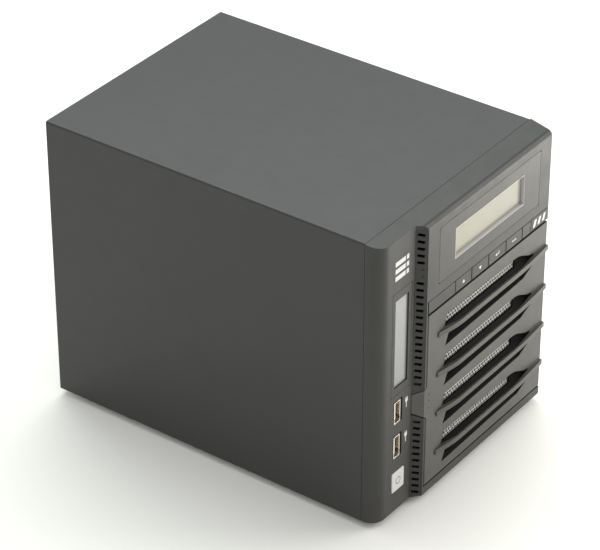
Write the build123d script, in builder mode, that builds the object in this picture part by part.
"""Four-bay network storage enclosure for a desk.

A sheet-steel U cover and base close the box. A moulded bezel carries the display, four keys, the
ports column and a hinged, louvred door. Behind the door four trays hold 3.5 inch drives in a steel
cage; a logic board stands on the left and a fan draws the air out at the rear.

Millimetres, +Z up, front towards -Y. Origin at the middle of the footprint, on the table.
"""

import os
from math import atan2, cos, hypot, sin, tan

from build123d import *

os.makedirs("parts", exist_ok=True)

# Overall sizes
body_width = 192.0
body_depth = 275.0
body_height = 216.0
foot_height = 5.0
sheet = 1.2
sheet_gap = 0.2

# Bezel
bezel_depth = 17.0
bezel_wall = 3.0
column_width = 39.5
column_setback = 5.7
strip_run = 6.5
column_radius = 10.5
edge_radius = 4.5
top_slope_drop = 3.9
crown = 9.0
land = 1.6
gap = 1.0

# Door
sill = 7.0
door_thickness = 11.5
door_wall = 2.2
face_wall = 4.0
hinge_inset = 3.0
pin_radius = 1.5
running_clearance = 0.05
pin_engagement = 8.0
hinge_block = 6.5
door_swing_relief = 2.0

# Louvres
bar_height = 3.7
lip_reach = 4.0
lip_reach_left = 0.9
lip_reach_right = 1.5
blade = 1.4
bar_seat = 10.0
bar_seat_right = 16.0
first_lip = 22.3
lip_below_top = 18.3
louvre_count = 4
hood = 9.3
wedge = (11.5, 9.5, 4.0)
wedge_step = 12.0

# Key row and display
key_row_below_top = 62.8
key_height = 9.2
key_gap = 0.7
key_thickness = 3.0
key_travel = 0.8
key_pocket = 4.0
stem_radius = 1.5
stem_clearance = 0.1
lcd_plate = (119.3, 42.0)
lcd_plate_below_top = 12.3
lcd_plate_left = 13.3
lcd_glass = (82.8, 23.5)
plate_thickness = 1.8
fit_gap = 0.25

# Ports column
status_plate = (21.3, 79.8)
status_glass = (14.9, 67.5)
status_plate_right = 2.7
status_plate_below_top = 42.5
column_plate = 1.2
display_thickness = 4.0
usb_shell = (7.0, 17.0)
usb_shell_wall = 0.6
usb_depth = 14.0
usb_centres = (80.0, 52.4)
button_size = (13.8, 15.6)
button_from_left = 25.0
button_centre = 23.8
button_travel = 1.5
usb_from_left = 22.6

# Vents
slot_pitch = 5.2
slot_height = 2.0
slot_length = 5.2
slot_tilt = -18
strip_plate = 1.6
strip_top_drop = 5.7
tab_low = (60.9, 69.0)
tab_high = (87.1, 83.4)
tab_thickness = 3.0
tab_gap = 0.7

# Drives and trays
drive_size = (101.6, 147.0, 26.1)
tray_face = 3.5
tray_gap = 1.0
tray_wall = 1.5
rail_height = 14.0
cage_length = 160.0
jamb = 5.7
lock_radius = 4.5
release_size = (14.0, 6.0)
release_travel = 1.2

# Boards, fan and rear
board = 1.6
fan_size = 120.0
fan_depth = 25.0
fan_inset = 24.0
fan_rim = 2.5
fan_hole_inset = 7.5
blade_gap = 1.5
blade_count = 7
hub_radius = 20.0
knob_reach = 4.0
knob_radius = 5.0
knob_inset = 16.0
foot_radius = 9.0
foot_inset = 18.0

# Faces worked out from the sizes above
left = -body_width / 2
right = body_width / 2
front = -body_depth / 2
back = body_depth / 2
floor = foot_height
roof = foot_height + body_height
seam = front + bezel_depth
column_face = front + column_setback
strip_left = left + column_width
face_left = strip_left + strip_run
slant = atan2(column_setback, strip_run)
strip_width = hypot(column_setback, strip_run)
door_left = face_left + land + gap
door_bottom = floor + sill
key_top = roof - key_row_below_top
key_bottom = key_top - key_height
door_top = key_bottom - 2 * gap
door_back = front + door_thickness
liner_front = front + face_wall
hinge_x = right - hinge_inset
hinge_y = door_back - hinge_inset
louvre_pitch = (door_top - door_bottom - first_lip - lip_below_top) / (louvre_count - 1)
lip_tops = [door_bottom + first_lip + louvre_pitch * i for i in range(louvre_count)]
rail_face = front + key_pocket
rail_top = key_top + gap + bezel_wall
opening_left = door_left + jamb
opening_right = right - jamb
opening_bottom = door_bottom + 4.4
opening_top = door_top - 4.4


def upright(y):
    """Plane facing the front at depth y, drawn in x and z."""
    return Plane.XZ.offset(-y)


def slab(x, y, z, mode=Mode.ADD):
    """Block between two values on each axis."""
    with Locations(((x[0] + x[1]) / 2, (y[0] + y[1]) / 2, (z[0] + z[1]) / 2)):
        Box(x[1] - x[0], y[1] - y[0], z[1] - z[0], mode=mode)


def rod(x, z, y, radius, mode=Mode.ADD):
    """Round bar along the depth, between two values of y."""
    with Locations((x, (y[0] + y[1]) / 2, z)):
        Cylinder(radius, y[1] - y[0], rotation=(90, 0, 0), mode=mode)


def post(x, y, z, radius, mode=Mode.ADD):
    """Upright round bar between two values of z."""
    with Locations((x, y, (z[0] + z[1]) / 2)):
        Cylinder(radius, z[1] - z[0], mode=mode)


def save(builder, name):
    """Names the finished piece and writes it."""
    builder.part.label = name
    export_step(builder.part, f"parts/{name}.step")


def front_outline(inset, rear):
    """Bezel's plan, moved inwards by inset and closed at rear."""
    shift = inset * tan(slant / 2)
    radius = column_radius - inset
    side = left + inset
    column = column_face + inset
    face = front + inset
    with BuildSketch() as outline:
        with BuildLine():
            Line((side, rear), (side, column + radius))
            CenterArc((side + radius, column + radius), radius, 180, 90)
            Polyline(
                (side + radius, column),
                (strip_left + shift, column),
                (face_left + shift, face),
                (right - inset, face),
                (right - inset, rear),
                (side, rear),
            )
        make_face()
    return outline.sketch


def tab_solid(grow):
    """Pull tab that folds from the door's face down the slant to the column."""
    shift = (tab_thickness + grow) * tan(slant / 2)
    depth = tab_thickness + grow
    low = floor + tab_low[0] - grow
    high = floor + tab_high[0] + grow
    join = door_left + door_wall
    with BuildPart() as tab:
        with BuildSketch(Plane.XY.offset(low)):
            Polygon(
                (join, front - grow),
                (face_left - grow, front - grow),
                (strip_left - grow, column_face - grow),
                (strip_left - grow, column_face + depth),
                (strip_left + shift, column_face + depth),
                (face_left + shift, front + depth),
                (join, front + depth),
                align=None,
            )
        extrude(amount=high - low)
        with BuildSketch(upright(front + column_setback + depth)):
            Polygon(
                (join, low),
                (join, high),
                (strip_left - grow, floor + tab_high[1] + grow),
                (strip_left - grow, floor + tab_low[1] - grow),
                align=None,
            )
        extrude(amount=column_setback + depth + grow, mode=Mode.INTERSECT)
    return tab.part


slant_plane = Plane(
    origin=((strip_left + face_left) / 2, (column_face + front) / 2, 0),
    x_dir=(cos(slant), -sin(slant), 0),
    z_dir=(-sin(slant), -cos(slant), 0),
)
strip_top = roof - strip_top_drop
strip_bottom = floor + 1.5
tab_space = tab_solid(tab_gap)
plate_left = -strip_width / 2 + 0.1
plate_right = strip_width / 2 - 0.4


# Feet: four moulded rubber discs under the base
foot_x = right - foot_inset
foot_y = back - foot_inset
with BuildPart() as rubber_feet:
    with BuildSketch(Plane.XY):
        with GridLocations(2 * foot_x, 2 * foot_y, 2, 2):
            Circle(foot_radius)
    extrude(amount=foot_height)
    chamfer(rubber_feet.edges().group_by(Axis.Z)[0], 1.0)
save(rubber_feet, "rubber_feet")

# Base: folded steel tray with low side flanges
base_half = right - sheet - sheet_gap
base_front = seam + sheet_gap
base_back = back - sheet - sheet_gap
flange_height = 20.0
with BuildPart() as base_chassis:
    slab((-base_half, base_half), (base_front, base_back), (floor, floor + sheet))
    for side in (-1, 1):
        inner = side * (base_half - sheet)
        wall_x = sorted((side * base_half, inner))
        slab(wall_x, (base_front, base_back), (floor, floor + flange_height))
    with BuildSketch(Plane.XY.offset(floor)):
        with Locations((-base_half / 2, 0), (base_half / 2, 0)):
            with GridLocations(9, 12, 5, 6):
                SlotOverall(10, 3, rotation=90)
    extrude(amount=sheet, mode=Mode.SUBTRACT)
save(base_chassis, "base_chassis")

# Cover: U of painted steel over top and both sides
with BuildPart() as outer_cover:
    with BuildSketch(upright(back)):
        with BuildLine():
            FilletPolyline((left, floor), (left, roof), (right, roof), (right, floor), radius=1.5)
            Polyline(
                (right, floor),
                (right - sheet, floor),
                (right - sheet, roof - sheet),
                (left + sheet, roof - sheet),
                (left + sheet, floor),
                (left, floor),
            )
        make_face()
    extrude(amount=back - seam - 0.3)
save(outer_cover, "outer_cover")

# Bezel: one moulding with the ports column, display panel, key rail and door frame
lcd_left = face_left + lcd_plate_left
lcd_right = lcd_left + lcd_plate[0]
lcd_top = roof - lcd_plate_below_top
lcd_bottom = lcd_top - lcd_plate[1]
status_right = strip_left - status_plate_right
status_left = status_right - status_plate[0]
status_top = roof - status_plate_below_top
status_bottom = status_top - status_plate[1]
lcd_centre = (lcd_left + lcd_right) / 2
glass_x = (lcd_centre - lcd_glass[0] / 2, lcd_centre + lcd_glass[0] / 2)
lcd_mid = (lcd_top + lcd_bottom) / 2
glass_z = (lcd_mid - lcd_glass[1] / 2, lcd_mid + lcd_glass[1] / 2)
status_mid = ((status_left + status_right) / 2, (status_top + status_bottom) / 2)
lcd_frame = 5.0
status_frame = 1.5
status_x = [status_mid[0] + half * (status_glass[0] / 2 + status_frame) for half in (-1, 1)]
status_z = [status_mid[1] + half * (status_glass[1] / 2 + status_frame) for half in (-1, 1)]
usb_x = [left + usb_from_left + half * usb_shell[0] / 2 for half in (-1, 1)]
button_x = [left + button_from_left + half * button_size[0] / 2 for half in (-1, 1)]
button_z = [floor + button_centre + half * button_size[1] / 2 for half in (-1, 1)]
key_edges = [face_left + 2.0, 31.0, 19.4, 20.2, 21.1, 20.0, 10.8]
key_lines = [sum(key_edges[: i + 1]) for i in range(len(key_edges))] + [right]
key_centres = [(key_lines[i] + key_lines[i + 1]) / 2 for i in range(1, 5)]
key_mid = (key_top + key_bottom) / 2
past = 1.0
with BuildPart() as front_bezel:
    with BuildSketch(Plane.XY.offset(floor)):
        add(front_outline(0, seam))
    extrude(amount=body_height)
    with BuildSketch(Plane.YZ):
        with BuildLine():
            FilletPolyline(
                (seam, roof),
                (front, roof - top_slope_drop),
                (front, floor),
                radius=edge_radius,
            )
            Polyline((front, floor), (seam, floor), (seam, roof))
        make_face()
    extrude(amount=body_width / 2, both=True, mode=Mode.INTERSECT)
    # Hollow behind the ports column
    with BuildSketch(Plane.XY.offset(floor + bezel_wall)):
        add(front_outline(bezel_wall, seam + past))
        with Locations(((left + door_left - gap - bezel_wall) / 2, seam)):
            Rectangle(door_left - gap - bezel_wall - left, 4 * bezel_depth, mode=Mode.INTERSECT)
    extrude(amount=body_height - bezel_wall - crown, mode=Mode.SUBTRACT)
    # Hollow behind the display
    with BuildSketch(Plane.XY.offset(rail_top)):
        add(front_outline(bezel_wall, seam + past))
    extrude(amount=roof - crown - rail_top, mode=Mode.SUBTRACT)
    # Boss behind the pull tab
    slab(
        (strip_left - 1.5, door_left - gap - past),
        (column_face + past, column_face + past + 7.0),
        (floor + tab_low[0] - 4, floor + tab_high[0] + 4),
    )
    # Door pocket, swing relief at the hinge jamb, and the way through to the trays
    pocket_z = (door_bottom - gap, door_top + gap)
    slab((door_left - gap, right + past), (front - past, door_back + gap), pocket_z, Mode.SUBTRACT)
    slab(
        (opening_right - 4, right + past),
        (door_back, door_back + door_swing_relief),
        pocket_z,
        Mode.SUBTRACT,
    )
    slab(
        (opening_left, opening_right),
        (door_back - past, seam + past),
        (opening_bottom, opening_top),
        Mode.SUBTRACT,
    )
    # Key pocket and the hollow in the rail behind it
    slab(
        (key_lines[0] - key_gap, right + past),
        (front - past, rail_face),
        (door_top, key_top + key_gap),
        Mode.SUBTRACT,
    )
    slab(
        (door_left, opening_right),
        (rail_face + bezel_wall - 0.5, seam + past),
        (door_top + gap + bezel_wall, key_top),
        Mode.SUBTRACT,
    )
    stem_hole = stem_radius + stem_clearance
    for key_x in key_centres:
        rod(key_x, key_mid, (rail_face - past, rail_face + bezel_wall), stem_hole, Mode.SUBTRACT)
    # Display panel
    slab(
        (lcd_left - fit_gap, lcd_right + fit_gap),
        (front - past, front + plate_thickness),
        (lcd_bottom - fit_gap, lcd_top + fit_gap),
        Mode.SUBTRACT,
    )
    slab(
        (glass_x[0] - lcd_frame, glass_x[1] + lcd_frame),
        (front, front + bezel_wall + past),
        (glass_z[0] - lcd_frame, glass_z[1] + lcd_frame),
        Mode.SUBTRACT,
    )
    # Status panel, ports and power button in the column
    slab(
        (status_left - fit_gap, status_right + fit_gap),
        (column_face - past, column_face + column_plate),
        (status_bottom - fit_gap, status_top + fit_gap),
        Mode.SUBTRACT,
    )
    slab(
        status_x,
        (column_face, column_face + bezel_wall + past),
        status_z,
        Mode.SUBTRACT,
    )
    for centre in usb_centres:
        slab(
            (usb_x[0] - 0.5, usb_x[1] + 2.6),
            (column_face - past, column_face + bezel_wall + past),
            (floor + centre - usb_shell[1] / 2 - 0.6, floor + centre + usb_shell[1] / 2 + 0.6),
            Mode.SUBTRACT,
        )
    slab(
        (button_x[0] - fit_gap, button_x[1] + fit_gap),
        (column_face - past, column_face + bezel_wall + past),
        (button_z[0] - fit_gap, button_z[1] + fit_gap),
        Mode.SUBTRACT,
    )
    # Recess for the vent strips with an air window behind each, and room for the tab
    with BuildSketch(slant_plane):
        with Locations(((plate_left + plate_right) / 2, (strip_top + strip_bottom) / 2)):
            Rectangle(plate_right - plate_left + 0.2, strip_top - strip_bottom + 0.2)
    extrude(amount=-strip_plate, mode=Mode.SUBTRACT)
    window_z = [
        (floor + tab_high[0] + 5, strip_top - 2),
        (floor + 2.5, floor + tab_low[0] - 4),
    ]
    for low, high in window_z:
        with BuildSketch(slant_plane):
            with Locations((-0.4, (low + high) / 2)):
                Rectangle(slot_length + 0.4, high - low)
        extrude(amount=-(bezel_wall + 0.6), mode=Mode.SUBTRACT)
    add(tab_space, mode=Mode.SUBTRACT)
    # Hinge pin seats and the pocket of the catch plate
    post(hinge_x, hinge_y, (door_top, door_top + gap + pin_engagement - 2), pin_radius, Mode.SUBTRACT)
    post(hinge_x, hinge_y, (floor + 2.0, door_bottom), pin_radius, Mode.SUBTRACT)
    slab(
        (door_left, opening_left - past),
        (door_back, door_back + gap + 1.0),
        (floor + 68.0, floor + 82.0),
        Mode.SUBTRACT,
    )
save(front_bezel, "front_bezel")

# Vent strips: two slotted inserts on the slant, above and below the tab
slot_rows = int((strip_top - 4.1 - floor - tab_high[0] - 3.5) / slot_pitch) + 1
lamp_rows = (5, 6)
lower_rows = int((tab_low[0] + 0.5 - 3.5) / slot_pitch) + 1
lower_first = floor + tab_low[0] + 0.5


def vent_strip(low, high, rows, lamps):
    """Plate on the slant between two heights, with slots at rows and round holes at lamps."""
    with BuildPart() as strip:
        with BuildSketch(slant_plane):
            with Locations(((plate_left + plate_right) / 2, (low + high) / 2)):
                Rectangle(plate_right - plate_left, high - low)
        extrude(amount=-strip_plate)
        with BuildSketch(slant_plane):
            with Locations(*[(-0.5, row) for row in rows]):
                Rectangle(slot_length, slot_height, rotation=slot_tilt)
            if lamps:
                with Locations(*[(0.8, row) for row in lamps]):
                    Circle(0.8)
        extrude(amount=-strip_plate, mode=Mode.SUBTRACT)
        add(tab_space, mode=Mode.SUBTRACT)
    return strip


upper_z = [strip_top - 4.1 - slot_pitch * i for i in range(slot_rows)]
upper_slots = [z for i, z in enumerate(upper_z) if i not in lamp_rows]
upper_lamps = [upper_z[i] for i in lamp_rows]
lower_slots = [lower_first - slot_pitch * i for i in range(lower_rows)]
vent_strip_upper = vent_strip(floor + tab_high[1] - 2, strip_top, upper_slots, upper_lamps)
save(vent_strip_upper, "vent_strip_upper")
vent_strip_lower = vent_strip(strip_bottom, floor + tab_low[1] + 2, lower_slots, [])
save(vent_strip_lower, "vent_strip_lower")

# Display: cover plate with a window, the glass module behind it, and its driver board
with BuildPart() as lcd_cover:
    with BuildSketch(upright(front + plate_thickness)):
        with Locations(((lcd_left + lcd_right) / 2, lcd_mid)):
            RectangleRounded(lcd_plate[0], lcd_plate[1], 1.5)
            Rectangle(lcd_glass[0], lcd_glass[1], mode=Mode.SUBTRACT)
    extrude(amount=plate_thickness)
save(lcd_cover, "lcd_cover")

lcd_back = front + plate_thickness + 5.5
with BuildPart() as lcd_display:
    slab(
        (glass_x[0] - lcd_frame + fit_gap, glass_x[1] + lcd_frame - fit_gap),
        (front + plate_thickness, lcd_back),
        (glass_z[0] - lcd_frame + fit_gap, glass_z[1] + lcd_frame - fit_gap),
    )
    slab(
        (glass_x[0] - 0.5, glass_x[1] + 0.5),
        (front, front + plate_thickness + 0.8),
        (glass_z[0] - 0.5, glass_z[1] + 0.5),
        Mode.SUBTRACT,
    )
save(lcd_display, "lcd_display")

with BuildPart() as lcd_board:
    slab(
        (lcd_left + 2, lcd_right - 2),
        (lcd_back, lcd_back + board),
        (rail_top + 2, roof - crown - 2),
    )
    for hole_x in (lcd_left + 5, lcd_right - 5):
        rod(hole_x, lcd_mid, (lcd_back - past, lcd_back + board + past), 1.6, Mode.SUBTRACT)
    chip_y = (lcd_back + board, lcd_back + board + 2.5)
    slab((lcd_left + 10, lcd_left + 40), chip_y, (lcd_mid - 6, lcd_mid + 6))
save(lcd_board, "lcd_board")

# Keys: four sprung caps with guide stems, two fixed blanks and the label plate
stem_end = rail_face + bezel_wall + 6.5
key_names = ["key_up", "key_down", "key_enter", "key_back"]
for index, name in enumerate(key_names):
    key_x = (key_lines[index + 1] + key_gap / 2, key_lines[index + 2] - key_gap / 2)
    with BuildPart() as key:
        slab(key_x, (front, front + key_thickness), (key_bottom, key_top))
        chamfer(key.faces().sort_by(Axis.Y)[0].edges(), 0.25)
        rod(key_centres[index], key_mid, (front + key_thickness, stem_end), stem_radius)
    save(key, name)

with BuildPart() as key_blanks:
    for index in (0, 5):
        blank_x = (key_lines[index] + key_gap / 2, key_lines[index + 1] - key_gap / 2)
        slab(blank_x, (front, rail_face), (key_bottom, key_top))
    chamfer(key_blanks.edges().filter_by(Axis.X).group_by(Axis.Y)[0], 0.25)
save(key_blanks, "key_blanks")

with BuildPart() as label_plate:
    slab((key_lines[6] + key_gap / 2, right), (front, rail_face), (key_bottom, key_top))
    chamfer(label_plate.edges().filter_by(Axis.X).group_by(Axis.Y)[0], 0.25)
save(label_plate, "label_plate")

switch_face = stem_end + key_travel + 0.1
switch_height = 0.9
with BuildPart() as key_board:
    slab(
        (key_lines[1] - 4, key_lines[5] + 4),
        (switch_face + switch_height, switch_face + switch_height + board),
        (door_top + gap + bezel_wall + 0.5, key_top - 0.5),
    )
    for key_x in key_centres:
        rod(key_x, key_mid, (switch_face, switch_face + switch_height), 2.0)
save(key_board, "key_board")

# Status panel in the column: cover plate and the upright display behind it
with BuildPart() as status_cover:
    with BuildSketch(upright(column_face + column_plate)):
        with Locations(status_mid):
            RectangleRounded(status_plate[0], status_plate[1], 1.0)
            Rectangle(status_glass[0], status_glass[1], mode=Mode.SUBTRACT)
    extrude(amount=column_plate)
save(status_cover, "status_cover")

with BuildPart() as status_display:
    slab(
        (status_x[0] + fit_gap, status_x[1] - fit_gap),
        (column_face + column_plate, column_face + column_plate + display_thickness),
        (status_z[0] + fit_gap, status_z[1] - fit_gap),
    )
save(status_display, "status_display")

# Front ports: two pressed-steel shells, each with its contact tongue, on the upright port board
usb_front = column_face - 0.3
with BuildPart() as front_usb_ports:
    for centre in usb_centres:
        port_z = (floor + centre - usb_shell[1] / 2, floor + centre + usb_shell[1] / 2)
        slab(usb_x, (usb_front, usb_front + usb_depth), port_z)
        slab(
            (usb_x[0] + usb_shell_wall, usb_x[1] - usb_shell_wall),
            (usb_front - past, usb_front + usb_depth - usb_shell_wall),
            (port_z[0] + usb_shell_wall, port_z[1] - usb_shell_wall),
            Mode.SUBTRACT,
        )
        slab(
            (usb_x[0] + 1.4, usb_x[0] + 3.2),
            (usb_front + 1.5, usb_front + usb_depth - usb_shell_wall),
            (port_z[0] + 2.0, port_z[1] - 2.0),
        )
save(front_usb_ports, "front_usb_ports")

io_board_x = (usb_x[0] - board, usb_x[0])
switch_y = column_face + 8.0 + button_travel + 0.1
with BuildPart() as front_io_board:
    slab(io_board_x, (switch_y + 1, seam + 24), (floor + 12, floor + usb_centres[0] + 12))
    slab(
        io_board_x,
        (column_face + bezel_wall + 1.2, switch_y + 1),
        (button_z[1] + 2, floor + usb_centres[0] + 12),
    )
save(front_io_board, "front_io_board")

button_mid = (sum(button_x) / 2, sum(button_z) / 2)
with BuildPart() as power_button:
    slab(button_x, (column_face - 0.5, column_face + 4.0), button_z)
    fillet(power_button.edges().filter_by(Axis.Y), 1.2)
    chamfer(power_button.faces().sort_by(Axis.Y)[0].edges(), 0.3)
    rod(button_mid[0], button_mid[1], (column_face + 4.0, column_face + 8.0), 2.0)
save(power_button, "power_button")

with BuildPart() as power_switch:
    slab(
        (io_board_x[1], button_mid[0] + 5),
        (switch_y + 1, switch_y + 7),
        (button_mid[1] - 5, button_mid[1] + 5),
    )
    rod(button_mid[0], button_mid[1], (switch_y, switch_y + 1), 2.5)
save(power_switch, "power_switch")

# Door: louvred moulding, hinged on two pins at its right edge
bar_left = door_left + 11.6
bar_full = bar_left + 25.0
bar_taper = right - 41.0
hood_right = right - 40.0
hood_run = 10.5
bar_end = right - bar_seat_right
seat_depth = 1.0


def louvre_opening(top):
    """Outline of the opening behind one bar: hooded above it, a long wedge below it."""
    low = top - bar_height
    with BuildSketch() as opening:
        with BuildLine():
            Polyline(
                (bar_left, top),
                (bar_left + 7.0, top + 0.8),
                (bar_left + hood_run, top + hood),
                (hood_right, top + hood - 0.6),
            )
            Spline(
                (hood_right, top + hood - 0.6),
                (bar_end - 1, top + 1.5),
                tangents=((1, 0), (1, -0.08)),
            )
            Polyline(
                (bar_end - 1, top + 1.5),
                (bar_end, top),
                (bar_end, low - wedge[2]),
                (bar_taper + wedge_step, low - wedge[1]),
                (bar_left + hood_run - 2, low - wedge[0]),
                (bar_left + bar_seat + 4, low),
                (bar_left + bar_seat, low + 1),
                (bar_left + bar_seat, top),
                (bar_left, top),
            )
        make_face()
    return opening.sketch


def bar_plan():
    """Plan of a thin bar that bows out of the door's face and is seated on it at both ends."""
    crest = front - lip_reach
    with BuildSketch() as plan:
        with BuildLine():
            Spline(
                (bar_left, front - lip_reach_left),
                (bar_full, crest),
                tangents=((1, -0.15), (1, 0)),
            )
            Line((bar_full, crest), (bar_taper, crest))
            Spline(
                (bar_taper, crest),
                (right, front - lip_reach_right),
                tangents=((1, 0), (1, 0.1)),
            )
            Polyline(
                (right, front - lip_reach_right),
                (right, front + seat_depth),
                (bar_end, front + seat_depth),
                (bar_end, front),
            )
            Spline(
                (bar_end, front),
                (bar_taper, crest + blade),
                tangents=((-1, -0.1), (-1, 0)),
            )
            Line((bar_taper, crest + blade), (bar_full, crest + blade))
            Spline(
                (bar_full, crest + blade),
                (bar_left + bar_seat, front),
                tangents=((-1, 0), (-1, 0.15)),
            )
            Polyline(
                (bar_left + bar_seat, front),
                (bar_left + bar_seat, front + seat_depth),
                (bar_left, front + seat_depth),
                (bar_left, front - lip_reach_left),
            )
        make_face()
    return plan.sketch


with BuildPart() as front_door:
    slab((door_left, right), (front, door_back), (door_bottom, door_top))
    chamfer(front_door.faces().sort_by(Axis.Y)[0].edges(), 0.4)
    hinge_edge = front_door.edges().filter_by(Axis.Z).sort_by_distance((right, door_back, 0))[0]
    fillet(hinge_edge, hinge_inset - 0.01)
    slab(
        (door_left + door_wall, right - hinge_block),
        (liner_front, door_back + past),
        (door_bottom + door_wall, door_top - door_wall),
        Mode.SUBTRACT,
    )
    for lip_top in lip_tops:
        with BuildSketch(upright(liner_front)):
            add(louvre_opening(lip_top))
        extrude(amount=face_wall + past, mode=Mode.SUBTRACT)
    for lip_top in lip_tops:
        with BuildSketch(Plane.XY.offset(lip_top - bar_height)):
            add(bar_plan())
        extrude(amount=bar_height)
    add(tab_solid(0))
    for mark in (85.2, 80.0, 74.0):
        rod(door_left + 2.4, mark, (front - past, front + 1.5), 0.5, Mode.SUBTRACT)
    hole = pin_radius + running_clearance
    post(hinge_x, hinge_y, (door_top - pin_engagement, door_top + past), hole, Mode.SUBTRACT)
    post(hinge_x, hinge_y, (door_bottom - past, door_bottom + pin_engagement), hole, Mode.SUBTRACT)
save(front_door, "front_door")

liner = 1.2
liner_x = (door_left + door_wall + fit_gap, right - hinge_block - fit_gap)
liner_z = (door_bottom + door_wall + fit_gap, door_top - door_wall - fit_gap)
with BuildPart() as door_liner:
    slab(liner_x, (liner_front, liner_front + liner), liner_z)
    for lip_top in lip_tops:
        slab(
            (bar_left + 8, hood_right + 6),
            (liner_front - past, liner_front + liner + past),
            (lip_top - 2.9, min(lip_top + hood + 1.5, liner_z[1] - 2)),
            Mode.SUBTRACT,
        )
save(door_liner, "door_liner")

mesh_front = liner_front + liner
mesh_thickness = 0.8
with BuildPart() as door_mesh:
    slab(
        (liner_x[0] + 6, liner_x[1] - 3),
        (mesh_front, mesh_front + mesh_thickness),
        (liner_z[0] + 3, liner_z[1] - 1),
    )
save(door_mesh, "door_mesh")

with BuildPart() as door_magnet:
    slab((liner_x[0] + 0.5, liner_x[0] + 3.9), (mesh_front, door_back - 0.2), (floor + 69, floor + 81))
save(door_magnet, "door_magnet")

with BuildPart() as catch_plate:
    slab(
        (door_left + 0.1, opening_left - past - 0.1),
        (door_back + gap, door_back + gap + 1.0),
        (floor + 68.1, floor + 81.9),
    )
save(catch_plate, "catch_plate")

with BuildPart() as door_hinge_pins:
    upper_pin = (door_top - pin_engagement + 0.6, door_top + gap + pin_engagement - 2)
    lower_pin = (floor + 2.0, door_bottom + pin_engagement - 0.6)
    for pin_z in (upper_pin, lower_pin):
        post(hinge_x, hinge_y, pin_z, pin_radius)
save(door_hinge_pins, "door_hinge_pins")

# Cage: steel tube around the trays, with a runner under each tray on both sides
bay_pitch = (opening_top - opening_bottom) / louvre_count
cage_x = (opening_left - 3.0, opening_right + 3.0)
cage_z = (opening_bottom - 1.6, opening_top + 1.6)
cage_y = (seam + sheet_gap, seam + cage_length)
tray_x = (opening_left + tray_gap / 2, opening_right - tray_gap / 2)
tray_mid = sum(tray_x) / 2
tray_floors = [opening_bottom + bay_pitch * i + tray_gap / 2 for i in range(louvre_count)]
with BuildPart() as drive_cage:
    slab(cage_x, cage_y, cage_z)
    slab(
        (cage_x[0] + sheet, cage_x[1] - sheet),
        (cage_y[0] - past, cage_y[1] + past),
        (cage_z[0] + sheet, cage_z[1] - sheet),
        Mode.SUBTRACT,
    )
    for tray_floor in tray_floors[1:]:
        for runner_x in ((cage_x[0] + sheet / 2, tray_x[0] + 4), (tray_x[1] - 4, cage_x[1] - sheet / 2)):
            slab(runner_x, (cage_y[0] + 8, cage_y[1] - 8), (tray_floor - 0.9, tray_floor - 0.1))
save(drive_cage, "drive_cage")

# Trays, drives, lock barrels and release buttons, bay by bay
tray_front = seam - tray_face
tray_back = cage_y[1] - 6
lock_x = tray_x[1] - 12
release_x = tray_x[0] + 13
for bay, tray_floor in enumerate(tray_floors, start=1):
    tray_height = bay_pitch - tray_gap
    bay_mid = tray_floor + tray_height / 2
    with BuildPart() as tray:
        slab(tray_x, (tray_front, seam), (tray_floor, tray_floor + tray_height))
        fillet(tray.edges().filter_by(Axis.Y), 1.0)
        slab((tray_x[0] + 1, tray_x[1] - 1), (seam, tray_back), (tray_floor, tray_floor + tray_wall))
        for rail_x in (tray_x[0] + 1, tray_x[1] - 1 - tray_wall):
            slab((rail_x, rail_x + tray_wall), (seam, tray_back), (tray_floor, tray_floor + rail_height))
        lock_hole = lock_radius + running_clearance
        rod(lock_x, bay_mid, (tray_front - past, seam + past), lock_hole, Mode.SUBTRACT)
        slab(
            (release_x - release_size[0] / 2 - fit_gap, release_x + release_size[0] / 2 + fit_gap),
            (tray_front - past, seam + past),
            (bay_mid - release_size[1] / 2 - fit_gap, bay_mid + release_size[1] / 2 + fit_gap),
            Mode.SUBTRACT,
        )
        with BuildSketch(upright(seam)):
            with Locations((tray_mid, bay_mid)):
                with GridLocations(5.0, 7.0, 12, 3):
                    SlotOverall(5.6, 2.6, rotation=90)
        extrude(amount=tray_face, mode=Mode.SUBTRACT)
    save(tray, f"tray_{bay}")

    with BuildPart() as tray_lock:
        rod(lock_x, bay_mid, (tray_front - 0.8, seam + 1.2), lock_radius)
        slab(
            (lock_x - 0.6, lock_x + 0.6),
            (tray_front - past, tray_front + 1.0),
            (bay_mid - 2.6, bay_mid + 2.6),
            Mode.SUBTRACT,
        )
    save(tray_lock, f"tray_lock_{bay}")

    with BuildPart() as tray_release:
        slab(
            (release_x - release_size[0] / 2, release_x + release_size[0] / 2),
            (tray_front - release_travel - 0.2, seam - 0.4),
            (bay_mid - release_size[1] / 2, bay_mid + release_size[1] / 2),
        )
        fillet(tray_release.edges().filter_by(Axis.Y), 1.0)
    save(tray_release, f"tray_release_{bay}")

    drive_x = (tray_mid - drive_size[0] / 2, tray_mid + drive_size[0] / 2)
    drive_y = (seam + 3, seam + 3 + drive_size[1])
    drive_z = (tray_floor + tray_wall, tray_floor + tray_wall + drive_size[2])
    with BuildPart() as hard_drive:
        slab(drive_x, drive_y, drive_z)
        fillet(hard_drive.edges().filter_by(Axis.Z), 3.0)
        slab(
            (drive_x[0] + 4, drive_x[1] - 4),
            (drive_y[0] + 4, drive_y[1] - 4),
            (drive_z[1] - 1.2, drive_z[1] + past),
            Mode.SUBTRACT,
        )
        rod(tray_mid, drive_z[1] - 6, (drive_y[0] - past, drive_y[0] + 1), 2.0, Mode.SUBTRACT)
    save(hard_drive, f"hard_drive_{bay}")

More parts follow.
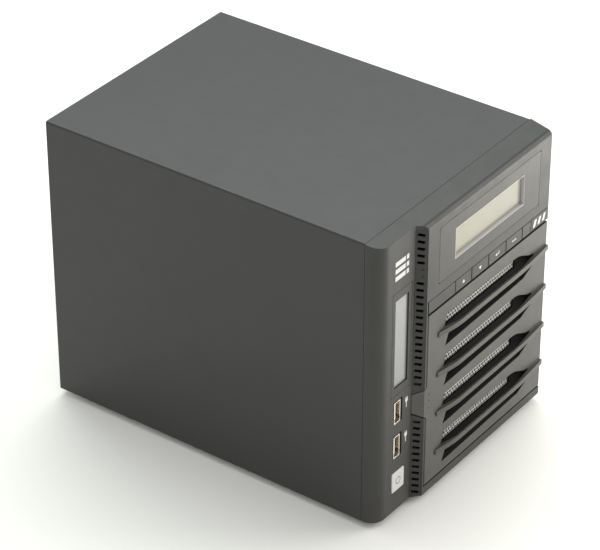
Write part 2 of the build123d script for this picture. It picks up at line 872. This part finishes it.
# Backplane behind the cage, with one connector block for each drive
backplane_y = cage_y[1] + 1.0
with BuildPart() as backplane_board:
    slab((cage_x[0] + 2, cage_x[1] - 2), (backplane_y, backplane_y + board), cage_z)
    for bay_floor in tray_floors:
        slab(
            (tray_mid + 20, tray_mid + 50),
            (backplane_y - past, backplane_y + board + past),
            (bay_floor + 16, bay_floor + 24),
            Mode.SUBTRACT,
        )
save(backplane_board, "backplane_board")

connector_start = seam + 3 + drive_size[1]
with BuildPart() as drive_connectors:
    for bay_floor in tray_floors:
        slab(
            (tray_mid - 40, tray_mid),
            (connector_start, backplane_y),
            (bay_floor + tray_wall + 3, bay_floor + tray_wall + 9),
        )
save(drive_connectors, "drive_connectors")

# Logic board on the left, on its own steel tray and four pillars
board_tray_x = (-base_half + sheet + sheet_gap, -base_half + 2 * sheet + sheet_gap)
pillar = 4.0
board_x = (board_tray_x[1] + pillar, board_tray_x[1] + pillar + board)
board_y = (seam + 60, back - 7)
board_z = (floor + 16, floor + 176)
with BuildPart() as board_tray:
    slab(board_tray_x, (seam + 50, base_back), (floor + sheet, board_z[1] + 12))
save(board_tray, "board_tray")

pillar_y = (board_y[0] + 5, board_y[1] - 5)
pillar_z = (board_z[0] + 5, board_z[1] - 5)
pillar_places = [(y, z) for y in pillar_y for z in pillar_z]
with BuildPart() as board_pillars:
    for y, z in pillar_places:
        with Locations(((board_tray_x[1] + board_x[0]) / 2, y, z)):
            Cylinder(3.0, pillar, rotation=(0, 90, 0))
save(board_pillars, "board_pillars")

with BuildPart() as main_board:
    slab(board_x, board_y, board_z)
    chip_places = [(board_y[0] + 30, board_z[0] + 40, 18), (board_y[0] + 75, board_z[0] + 30, 14)]
    for y, z, width in chip_places:
        slab((board_x[1], board_x[1] + 2), (y - width / 2, y + width / 2), (z - width / 2, z + width / 2))
save(main_board, "main_board")

sink_mid = (board_y[0] + 55, board_z[0] + 105)
sink_half = 22.0
fin_count = 10
fin_width = 1.2
with BuildPart() as cpu_heatsink:
    sink_y = (sink_mid[0] - sink_half, sink_mid[0] + sink_half)
    slab((board_x[1], board_x[1] + 4), sink_y, (sink_mid[1] - sink_half, sink_mid[1] + sink_half))
    for fin in range(fin_count):
        fin_z = sink_mid[1] - sink_half + fin * (2 * sink_half - fin_width) / (fin_count - 1)
        slab((board_x[1] + 4, board_x[1] + 22), sink_y, (fin_z, fin_z + fin_width))
save(cpu_heatsink, "cpu_heatsink")

with BuildPart() as memory_module:
    memory_y = board_y[0] + 90
    slab((board_x[1], board_x[1] + 30), (memory_y, memory_y + 1.2), (board_z[0] + 60, board_z[0] + 127))
    for chip in range(4):
        chip_z = board_z[0] + 66 + chip * 15
        slab((board_x[1] + 8, board_x[1] + 22), (memory_y + 1.2, memory_y + 2.4), (chip_z, chip_z + 10))
save(memory_module, "memory_module")

# Rear ports: two network jacks and one data port, standing on the logic board
jack_width = 15.9
jack_height = 13.4
port_end = back + 0.3
jack_x = (board_x[1], board_x[1] + jack_height)
jack_centres = [board_z[0] + 24, board_z[0] + 46]
rear_usb_mid = board_z[0] + 68
with BuildPart() as rear_ports:
    for centre in jack_centres:
        slab(jack_x, (port_end - 21, port_end), (centre - jack_width / 2, centre + jack_width / 2))
        slab(
            (jack_x[0] + 2.2, jack_x[1] - 2.0),
            (port_end - 15, port_end + past),
            (centre - 5.9, centre + 5.9),
            Mode.SUBTRACT,
        )
    usb_z = (rear_usb_mid - 7.3, rear_usb_mid + 7.3)
    slab((jack_x[0], jack_x[0] + 7.2), (port_end - 14, port_end), usb_z)
    slab(
        (jack_x[0] + 0.6, jack_x[0] + 6.6),
        (port_end - 13, port_end + past),
        (rear_usb_mid - 6.7, rear_usb_mid + 6.7),
        Mode.SUBTRACT,
    )
    tongue_z = (rear_usb_mid - 5.5, rear_usb_mid + 5.5)
    slab((jack_x[0] + 1.6, jack_x[0] + 3.4), (port_end - 14, port_end - 1.5), tongue_z)
save(rear_ports, "rear_ports")

socket_mid = (board_x[1] + 5.5, board_z[0] + 90)
with BuildPart() as power_inlet:
    socket_z = (socket_mid[1] - 5, socket_mid[1] + 5)
    slab((board_x[1], board_x[1] + 11), (port_end - 13, port_end), socket_z)
    rod(socket_mid[0], socket_mid[1], (port_end - 10, port_end + past), 3.2, Mode.SUBTRACT)
    rod(socket_mid[0], socket_mid[1], (port_end - 11, port_end - 1), 1.0)
save(power_inlet, "power_inlet")

# Rear panel: steel plate with the fan opening, port cut-outs and a lock slot
fan_bore = fan_size / 2 - fan_rim
fan_hole_pitch = fan_size - 2 * fan_hole_inset
fan_x = right - fan_size / 2 - fan_inset
fan_z = roof - fan_size / 2 - 10
panel_x = (-base_half, base_half)
panel_y = (back - sheet, back)
panel_z = (floor, roof - sheet - sheet_gap)
knob_places = [(sx * (base_half - knob_inset), z) for sx in (-1, 1) for z in (floor + 10, panel_z[1] - 8)]
cut_y = (panel_y[0] - past, panel_y[1] + past)
with BuildPart() as rear_panel:
    slab(panel_x, panel_y, panel_z)
    rod(fan_x, fan_z, cut_y, fan_bore, Mode.SUBTRACT)
    for centre in jack_centres:
        slab(
            (jack_x[0] - 0.3, jack_x[1] + 0.3),
            cut_y,
            (centre - jack_width / 2 - 0.3, centre + jack_width / 2 + 0.3),
            Mode.SUBTRACT,
        )
    slab((jack_x[0] - 0.3, jack_x[0] + 7.5), cut_y, (usb_z[0] - 0.3, usb_z[1] + 0.3), Mode.SUBTRACT)
    inlet_cut = (board_x[1] - 0.3, board_x[1] + 11.3)
    slab(inlet_cut, cut_y, (socket_z[0] - 0.3, socket_z[1] + 0.3), Mode.SUBTRACT)
    for knob_x, knob_z in knob_places:
        rod(knob_x, knob_z, cut_y, 2.0, Mode.SUBTRACT)
    slab((right - 40, right - 33), cut_y, (floor + 20, floor + 23), Mode.SUBTRACT)
    with BuildSketch(upright(back)):
        with Locations((fan_x - 12, floor + 36)):
            with GridLocations(6.0, 12.0, 14, 3):
                SlotOverall(9.0, 2.6, rotation=90)
    extrude(amount=sheet, mode=Mode.SUBTRACT)
save(rear_panel, "rear_panel")

with BuildPart() as thumbscrews:
    for knob_x, knob_z in knob_places:
        rod(knob_x, knob_z, (back, back + knob_reach), knob_radius)
        rod(knob_x, knob_z, (back - 6, back), 1.9)
    chamfer(thumbscrews.edges().filter_by(GeomType.CIRCLE).group_by(Axis.Y)[-1], 0.5)
save(thumbscrews, "thumbscrews")

# Fan: square frame with a hub on four struts, rotor with swept blades, and a wire guard outside
fan_y = (panel_y[0] - fan_depth, panel_y[0])
half = fan_size / 2
with BuildPart() as fan_frame:
    with BuildSketch(upright(fan_y[1])):
        with Locations((fan_x, fan_z)):
            RectangleRounded(fan_size, fan_size, 6)
            Circle(fan_bore, mode=Mode.SUBTRACT)
            with GridLocations(fan_hole_pitch, fan_hole_pitch, 2, 2):
                Circle(2.2, mode=Mode.SUBTRACT)
    extrude(amount=fan_depth)
    rod(fan_x, fan_z, (fan_y[0], fan_y[0] + 3), hub_radius)
    with BuildSketch(upright(fan_y[0] + 3)):
        with Locations((fan_x, fan_z)):
            with PolarLocations(0, 4, start_angle=45):
                Rectangle(2 * fan_bore, 3, align=(Align.MIN, Align.CENTER))
            Circle(fan_bore + 1, mode=Mode.INTERSECT)
            Circle(hub_radius, mode=Mode.SUBTRACT)
    extrude(amount=3)
    rod(fan_x, fan_z, (fan_y[0] - past, fan_y[0] + 3 + past), 2.0 + running_clearance, Mode.SUBTRACT)
save(fan_frame, "fan_frame")

rotor_y = (fan_y[0] + 4.0, fan_y[1] - 2.0)
blade_tip = fan_bore - blade_gap
with BuildPart() as fan_rotor:
    rod(fan_x, fan_z, rotor_y, hub_radius)
    fillet(fan_rotor.edges().filter_by(GeomType.CIRCLE).sort_by(Axis.Y)[-1], 2.0)
    with BuildSketch(upright(rotor_y[1] - 3)):
        with Locations((fan_x, fan_z)):
            with PolarLocations(0, blade_count):
                Polygon(
                    (hub_radius - 2, -4),
                    (blade_tip - 4, -18),
                    (blade_tip - 1, 2),
                    (hub_radius - 2, 9),
                    align=None,
                )
            Circle(blade_tip, mode=Mode.INTERSECT)
    extrude(amount=2.5)
    rod(fan_x, fan_z, (fan_y[0] + 0.5, rotor_y[0]), 2.0)
save(fan_rotor, "fan_rotor")

guard_y = (back, back + 1.8)
with BuildPart() as fan_guard:
    with BuildSketch(upright(guard_y[1])):
        with Locations((fan_x, fan_z)):
            for ring in range(6):
                outer = (fan_bore - 1.5) * (1 - ring / 6.2)
                Circle(outer)
                Circle(outer - 1.6, mode=Mode.SUBTRACT)
    extrude(amount=1.8)
    with BuildSketch(upright(guard_y[1])):
        with Locations((fan_x, fan_z)):
            with PolarLocations(0, 4, start_angle=45):
                Rectangle(fan_hole_pitch * 0.72, 1.8, align=(Align.MIN, Align.CENTER))
            with GridLocations(fan_hole_pitch, fan_hole_pitch, 2, 2):
                Circle(4)
    extrude(amount=1.8)
save(fan_guard, "fan_guard")

with BuildPart() as fan_screws:
    with BuildSketch(upright(guard_y[1] + 1.6)):
        with Locations((fan_x, fan_z)):
            with GridLocations(fan_hole_pitch, fan_hole_pitch, 2, 2):
                Circle(3.4)
    extrude(amount=1.6)
save(fan_screws, "fan_screws")
